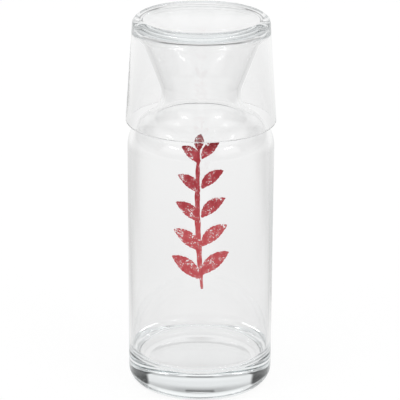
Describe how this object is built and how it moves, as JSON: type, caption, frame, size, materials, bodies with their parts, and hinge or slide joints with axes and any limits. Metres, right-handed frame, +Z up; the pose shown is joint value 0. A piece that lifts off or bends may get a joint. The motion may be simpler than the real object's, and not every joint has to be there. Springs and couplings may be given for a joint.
{
  "type": "bedside carafe with tumbler",
  "caption": "Clear glass water carafe with a thick base, a waisted funnel neck and a tumbler turned over the neck as a lid that lifts off.",
  "frame": {"origin": "middle of the foot, on the surface that the carafe stands on", "axes": "+Z up along the axis of the carafe and the tumbler, -Y towards the side with the red print"},
  "size_m": [0.0818, 0.0818, 0.2098],
  "materials": {
    "carafe_glass": "clear, polished",
    "tumbler_glass": "clear, polished"
  },
  "bodies": {
    "carafe": {"carafe": "carafe_glass"},
    "tumbler": {"tumbler": "tumbler_glass"}
  },
  "joints": [
    {"name": "tumbler_lift", "type": "slide", "parent": "carafe", "child": "tumbler", "axis": [0, 0, 1], "range_m": [0, 0.07]}
  ]
}
